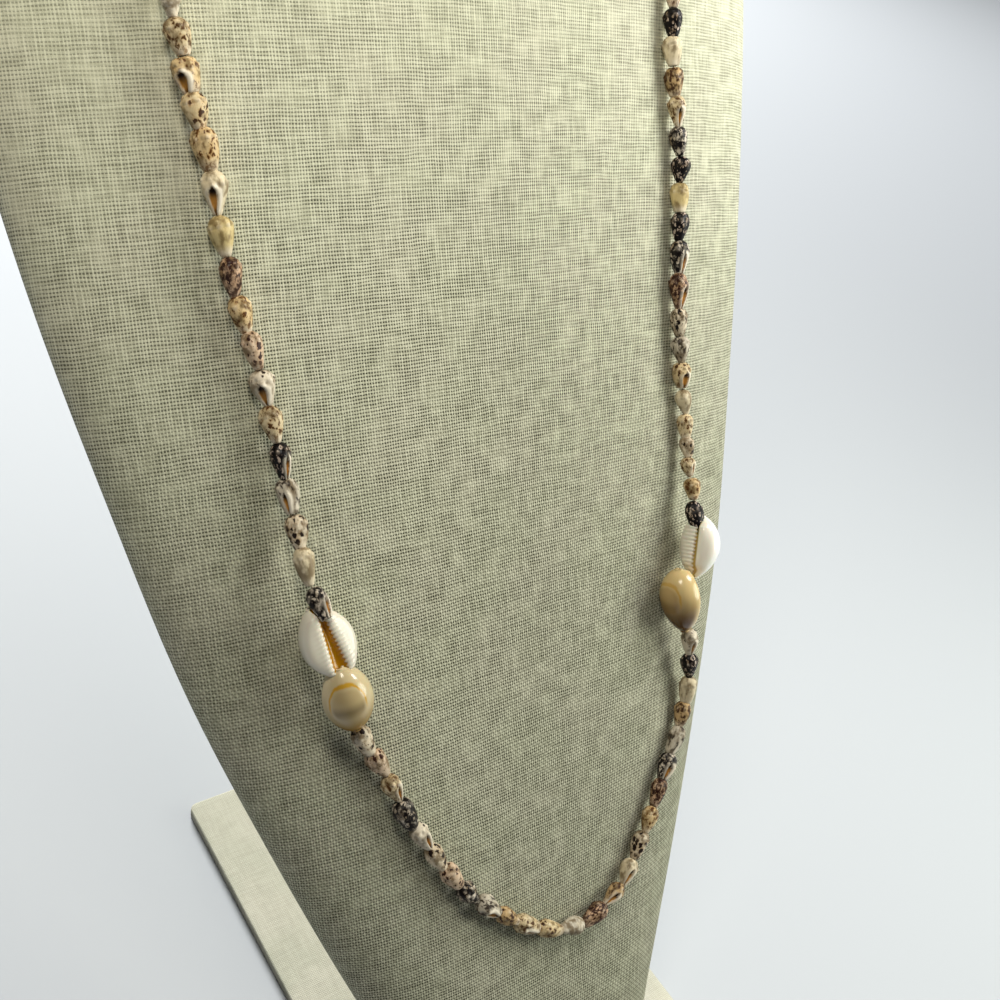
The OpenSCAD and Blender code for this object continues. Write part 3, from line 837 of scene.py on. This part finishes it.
def cowrie_half(side, r, sole, slit_x, gap, ridge, look):
    """One side of a section: across, out from the flat side, and how deep in the slit each point lies.
    It runs up the slit's wall, over the flat side to the widest place and over the dome."""
    tooth = ridge * look["teeth"][0 if side < 0 else 1]
    square, reach = look["sole"][1], look["reach"]
    edge = gap - 0.14 * MM * tooth
    room = r - side * slit_x
    wall = np.linspace(0, 1, WALL_STEPS + 1)
    wall_x = edge * (1 - (1 - wall) ** 2 * 0.9)
    wall_y = -sole + 1.1 * MM * (1 - wall) * min(1.0, r / COWRIE_R + 0.1) + LIP_DROP
    t = np.linspace(0, 1, BASE_STEPS + 1)[1:]
    x = edge + (room - edge) * np.sin(t * math.pi / 2)
    share = np.clip(abs(side * slit_x + x) / r, 0, 1)
    y = -sole * (1 - share ** square) ** (1 / square)
    from_edge = (x - edge) / MM
    y = y + LIP_DROP * np.exp(-(from_edge / 0.5)) - 0.2 * MM * tooth * np.exp(-(from_edge / reach) ** 2)
    y = y - 0.15 * MM * bump_at(from_edge, 1.4, 1.0) * ease(r, 3 * MM, 6 * MM)
    y[-1] = 0.0
    b = np.linspace(0, math.pi / 2, DOME_STEPS + 1)[1:]
    dome_x = r * np.cos(b)
    dome_y = r * 0.99 * np.sin(b) ** 0.95
    xs = np.concatenate([slit_x + side * wall_x, slit_x + side * x, side * dome_x])
    ys = np.concatenate([wall_y, y, dome_y])
    stain = 0.42 * np.exp(-(from_edge / 0.22))
    depth = np.concatenate([1 - 0.45 * wall, stain, np.zeros(DOME_STEPS)])
    bite = np.concatenate([wall ** 2, np.ones(BASE_STEPS + DOME_STEPS)])
    return xs, ys, depth * (1 - 0.6 * tooth * bite)


def bored_ends(rows, deep):
    """Adds two rows at each end that turn in to the bore."""
    for end in (0, -1):
        ring = rows[end].copy()
        across = np.linalg.norm(ring[:, :2], axis=1, keepdims=True)
        ring[:, :2] *= np.minimum(1, BORE_R / np.maximum(across, 1e-9))
        inner = ring.copy()
        inner[:, 2] -= math.copysign(1.2 * MM, inner[0, 2])
        pair, shade = [ring, inner], [deep[end] * 0, deep[end] * 0]
        if end == 0:
            rows, deep = np.concatenate([pair[::-1], rows]), np.concatenate([shade, deep])
        else:
            rows, deep = np.concatenate([rows, pair]), np.concatenate([deep, shade])
    return rows, deep


def cowrie_points(length, look):
    """Points in the cowrie's own frame, and how deep in the slit each lies."""
    k = np.linspace(0, 1, COWRIE_ROWS)
    s = 0.5 * k + 0.25 * (1 - np.cos(math.pi * k))
    z = length * (0.5 - s)
    r = COWRIE_R * look["girth"] * np.clip(np.sin(math.pi * s ** look["fat"]), 0, 1) ** 0.6
    r = np.maximum(r, 1.3 * MM)
    sole = np.minimum(look["sole"][0] * MM, r * 0.85)
    slit, place = look["slit"], look["slit_place"]
    slit_x = (place[0] + place[1] * s) * MM * ease(r, 1.5 * MM, 4 * MM)
    gap = np.minimum((slit[0] + slit[1] * s) * MM, r * 0.45)
    phase = 2 * math.pi * z / TOOTH_PITCH + 0.5 * np.sin(z / (1.9 * MM))
    ridge = (0.5 + 0.5 * np.cos(phase)) * ease(s, 0.10, 0.20) * ease(0.93 - s, 0.0, 0.08)
    rows, deep = [], []
    for i in range(COWRIE_ROWS):
        right, left = (cowrie_half(side, r[i], sole[i], slit_x[i], gap[i], ridge[i], look)
                       for side in (1, -1))
        xs, ys, depth = (np.concatenate([a, b[-2:0:-1]]) for a, b in zip(right, left))
        deep.append(depth)
        rows.append(np.column_stack([xs, ys, np.full(len(xs), z[i])]))
    return bored_ends(np.array(rows), np.array(deep))


# Each cowrie's colours on its dome, in its ring, on its flat side, at its lower end and in its slit, and
# where the lower end's colour fades in, as shares of the length below the middle. The ring's middle and
# strength. How far it turns, in degrees, its girth, and how low it is widest. The slit's half width and
# its place, each at the upper end and by how much it grows downward. The teeth on each side and how far
# they reach. How deep the flat side is, and how square. How far its ends lie from the string's gaps.
# Lengths are in millimetres. What a cowrie's own row leaves out is the usual one.
COWRIE_USUAL = {
    "fade": (-0.1, 0.4), "inside": SLIT_ORANGE, "turn": 0, "slit": (0.5, 0.9), "slit_place": (-0.4, 1.5),
    "teeth": (1.0, 1.0), "reach": 1.9, "sole": (2.9, 3.0)}
COWRIE_LOOKS = {
    "cowrie_left_upper": {
        "dome": (232, 222, 200), "middle": (212, 196, 160), "base": (226, 219, 202),
        "low": (224, 216, 198), "ring": (2.5, -1.6, 0.0), "girth": 1.06, "fat": 1.04,
        "slit": (0.5, 1.7), "slit_place": (0.9, -2.3), "reach": 2.4,
        "upper": (-2.0, -0.32, -0.81), "lower": (1.24, -1.85, -1.58)},
    "cowrie_left_lower": {
        "dome": (202, 184, 144), "middle": (172, 148, 102), "base": (224, 208, 174),
        "low": (146, 106, 24), "ring": (3.0, 2.3, 1.0), "girth": 1.0, "fat": 0.93,
        "upper": (-1.27, -1.02, 2.3), "lower": (-0.06, -0.18, -0.24)},
    "cowrie_right_lower": {
        "dome": (214, 188, 134), "middle": (132, 84, 8), "base": (214, 188, 134),
        "low": (90, 52, 0), "fade": (-0.30, 0.32), "ring": (0.5, 2.0, 0.6), "turn": -12,
        "girth": 1.02, "fat": 0.84, "upper": (-5.6, 1.0, 3.2), "lower": (-1.9, 0.4, 0.0)},
    "cowrie_right_upper": {
        "dome": (254, 254, 252), "middle": (232, 226, 206), "base": (250, 243, 228),
        "low": (254, 252, 244), "inside": (200, 172, 100), "ring": (2.5, 0.9, 0.0), "turn": -11,
        "girth": 1.0, "fat": 0.92, "slit": (0.28, 0.3), "slit_place": (2.1, -0.2),
        "teeth": (1.0, 0.0), "reach": 4.5, "sole": (4.2, 2.0),
        "upper": (1.1, -0.8, 0.3), "lower": (1.08, -1.42, -1.23)},
}


def make_cowrie(node, ends, material):
    look = {**COWRIE_USUAL, **COWRIE_LOOKS[node]}
    upper, lower = sorted(ends, key=lambda p: -p[2])
    axes = cowrie_frame(node, upper, lower)
    upper, lower = upper + np.array(look["upper"]) * MM, lower + np.array(look["lower"]) * MM
    up = unit(upper - lower)
    dome = unit(axes[:, 1] - up * (axes[:, 1] @ up))
    axes = np.stack([np.cross(dome, up), dome, up], axis=1)
    axes = axes @ np.array(Matrix.Rotation(math.radians(look["turn"]), 3, "Z"))
    length = np.linalg.norm(upper - lower) - 0.6 * MM
    rows, deep = cowrie_points(length, look)
    world = (upper + lower) / 2 + rows @ axes.T
    rise = ease(rows[..., 1], -1.2 * MM, 2.0 * MM)[..., None]
    tone = linear(look["base"]) + (linear(look["dome"]) - linear(look["base"])) * rise
    start, end = look["fade"]
    fall = ease(-rows[..., 2], start * length, end * length)[..., None]
    tone = tone + (linear(look["low"]) - tone) * fall * rise
    piece = mesh_piece(node + "_shell", world, grid_faces(len(rows), rows.shape[1], flip=True), material)
    count = rows.shape[0] * rows.shape[1]
    ones = np.ones((count, 1))
    for name, colour in (("tone", tone.reshape(-1, 3)), ("tone2", ones * linear(look["middle"])),
                         ("paint", ones * linear(look["inside"]))):
        set_attribute(piece, name, "FLOAT_COLOR", np.column_stack([colour, ones]))
    flat = rows.reshape(-1, 3) / MM
    round_it = np.arctan2(flat[:, 0], flat[:, 1]) * COWRIE_R / MM
    set_attribute(piece, "place", "FLOAT_VECTOR", np.column_stack([round_it, flat[:, 1:]]))
    set_attribute(piece, "ring", "FLOAT_VECTOR", ones * np.array(look["ring"]))
    set_attribute(piece, "paint_amount", "FLOAT", ease(deep, 0.15, 0.6))
    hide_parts(node)
    return piece


# Share of the clasp's length, and radius there as a share of the widest
CLASP_PROFILE = (
    (0.00, 0.34), (0.02, 0.52), (0.06, 0.58), (0.10, 0.54), (0.13, 0.62), (0.20, 0.84), (0.28, 0.94),
    (0.33, 1.00), (0.37, 1.00), (0.40, 0.93), (0.47, 0.93), (0.49, 0.97), (0.495, 0.88),
    (0.505, 0.88), (0.51, 0.97), (0.53, 0.93), (0.60, 0.93), (0.63, 1.00), (0.67, 1.00),
    (0.72, 0.94), (0.80, 0.84), (0.87, 0.62), (0.90, 0.54), (0.94, 0.58), (0.98, 0.52), (1.00, 0.34))


def make_clasp(ends, material):
    """A barrel clasp of two screwed halves with beaded rims."""
    start, end = ends
    length = np.linalg.norm(end - start) - 0.5 * MM
    r = (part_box("clasp")[1][2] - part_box("clasp")[0][2]) / 2
    sides = 48
    middle = (start + end) / 2
    axes = standing(start, end, outward(middle))
    points = []
    for share, radius in CLASP_PROFILE:
        a = np.arange(sides) * 2 * math.pi / sides
        knurl = 1 + 0.02 * np.cos(a * 24) * (abs(share - 0.5) > 0.12) * (abs(share - 0.5) < 0.18)
        ring = np.cos(a)[:, None] * axes[:, 1] + np.sin(a)[:, None] * axes[:, 0]
        level = middle + axes[:, 2] * (share - 0.5) * length
        points.append(level + ring * (radius * knurl * r)[:, None])
    for end_row, way in ((0, 1), (-1, -1)):
        centre = points[end_row].mean(axis=0)
        inner = centre + (points[end_row] - centre) * 0.6 + axes[:, 2] * way * 0.6 * MM
        points = [inner] + points if end_row == 0 else points + [inner]
    clasp = mesh_piece("barrel_clasp", np.array(points), grid_faces(len(points), sides), material)
    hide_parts("clasp")
    return clasp


# Build
# Thread colours, then the gaps' colour, which is painted shade between the threads
weave = linen("linen", rgb(218, 217, 191), rgb(198, 197, 171), rgb(50, 49, 34), THREAD_PITCH, 0.00015)
plate_weave = linen("plate_linen", rgb(172, 170, 153), rgb(164, 162, 145), rgb(144, 142, 126),
                    PLATE_PITCH, 0.00006)
make_bust(weave)
make_plate(plate_weave)
gaps = gap_points()
string = String(gaps)
make_thread(string, plain("string", rgb(226, 214, 186), Roughness=0.8, Sheen_Weight=0.2))

lengths = np.diff(string.starts)
cowries = [i for i, length in enumerate(lengths) if length > LONGEST_SMALL]
left_first, left_last, right_first, right_last = cowries
rng = np.random.default_rng(11)
start_s = string.starts
clasp_at = len(lengths) - 1
left_rows = stretch(string, start_s[0], start_s[left_first] + PERCH, LEFT_SHOWN[::-1],
                    left_first - len(LEFT_SHOWN), True, rng)
low_rows = stretch(string, start_s[left_last + 1], start_s[right_first], LOW_SHOWN, 0, True, rng)
right_rows = stretch(string, start_s[right_last + 1] - PERCH, start_s[clasp_at], RIGHT_SHOWN,
                     clasp_at - right_last - 1 - len(RIGHT_SHOWN), False, rng)
half = len(low_rows) // 2
# The narrow end points away from the nape, down each side
left_rows = [(look, turn, b, a, width) for look, turn, a, b, width in left_rows + low_rows[:half]]
right_rows = low_rows[half:] + right_rows
on_left, on_right = left_first - 1, len(low_rows) - half
left_rows[on_left] = perched(left_rows[on_left], (-0.4, -2.6, 1.5), (-0.3, -0.8, -1.1))
right_rows[on_right] = perched(right_rows[on_right], (-2.0, -3.0, -1.0), (-1.3, 0.2, -0.8))
shells = shell_material()
strung_shells("shells_left_detail", "shells_left", finish_rows(left_rows), shells)
strung_shells("shells_right_detail", "shells_right", finish_rows(right_rows), shells)
cowrie_gloss = cowrie_material()
for place, node in zip(cowries, ("cowrie_left_upper", "cowrie_left_lower",
                                 "cowrie_right_lower", "cowrie_right_upper")):
    make_cowrie(node, (gaps[place], gaps[place + 1]), cowrie_gloss)
make_clasp((gaps[-1], gaps[0]), plain("clasp_metal", rgb(206, 186, 130), Metallic=1.0, Roughness=0.28))


# Stage, lights and camera
def make_floor():
    mesh = bpy.data.meshes.new("floor")
    size, level = 6.0, -0.2 * MM
    corners = [(x * size, y * size, level) for x, y in ((-1, -1), (1, -1), (1, 1), (-1, 1))]
    mesh.from_pydata(corners, [], [(0, 1, 2, 3)])
    floor = bpy.data.objects.new("floor", mesh)
    mesh.materials.append(plain("floor_white", rgb(152, 154, 156), Roughness=0.8))
    show(floor)


def area_light(name, at, towards, size, power, colour):
    data = bpy.data.lights.new(name, "AREA")
    data.shape = "DISK"
    data.size = size
    data.energy = power
    data.color = colour
    light = bpy.data.objects.new(name, data)
    light.location = at
    light.rotation_euler = (Vector(towards) - Vector(at)).to_track_quat("-Z", "Y").to_euler()
    show(light)


def make_camera():
    data = bpy.data.cameras.new("camera")
    data.lens = CAMERA_LENS
    data.sensor_width = CAMERA_SENSOR
    data.clip_start = 0.01
    data.clip_end = 50
    camera = bpy.data.objects.new("camera", data)
    forward = CAMERA_FORWARD.normalized()
    up = -CAMERA_DOWN
    up = (up - forward * up.dot(forward)).normalized()
    right = forward.cross(up)
    turn = Matrix((right, up, -forward)).transposed()
    camera.matrix_world = Matrix.Translation(CAMERA_AT) @ turn.to_4x4()
    show(camera)
    bpy.context.scene.camera = camera


make_floor()
BUST_MIDDLE = (0, 0.08, 0.26)
area_light("top_left", (-0.15, 0.0, 0.59), BUST_MIDDLE, 0.14, 1.0, (1.0, 0.95, 0.82))
area_light("top_right", (0.26, -0.02, 0.46), BUST_MIDDLE, 0.14, 0.86, (1.0, 1.0, 1.0))
area_light("right", (0.50, -0.30, 0.35), BUST_MIDDLE, 0.4, 3.0, (0.96, 1.0, 0.88))
area_light("back", (0.5, 3.0, 2.0), (0.3, 0.4, 0), 1.6, 366, (0.97, 0.99, 1.0))
world = bpy.data.worlds.new("studio")
world.use_nodes = True
background = world.node_tree.nodes["Background"].inputs
background[0].default_value = rgb(226, 234, 244)
background[1].default_value = 0.04
bpy.context.scene.world = world
bpy.context.scene.view_settings.view_transform = "Standard"
make_camera()
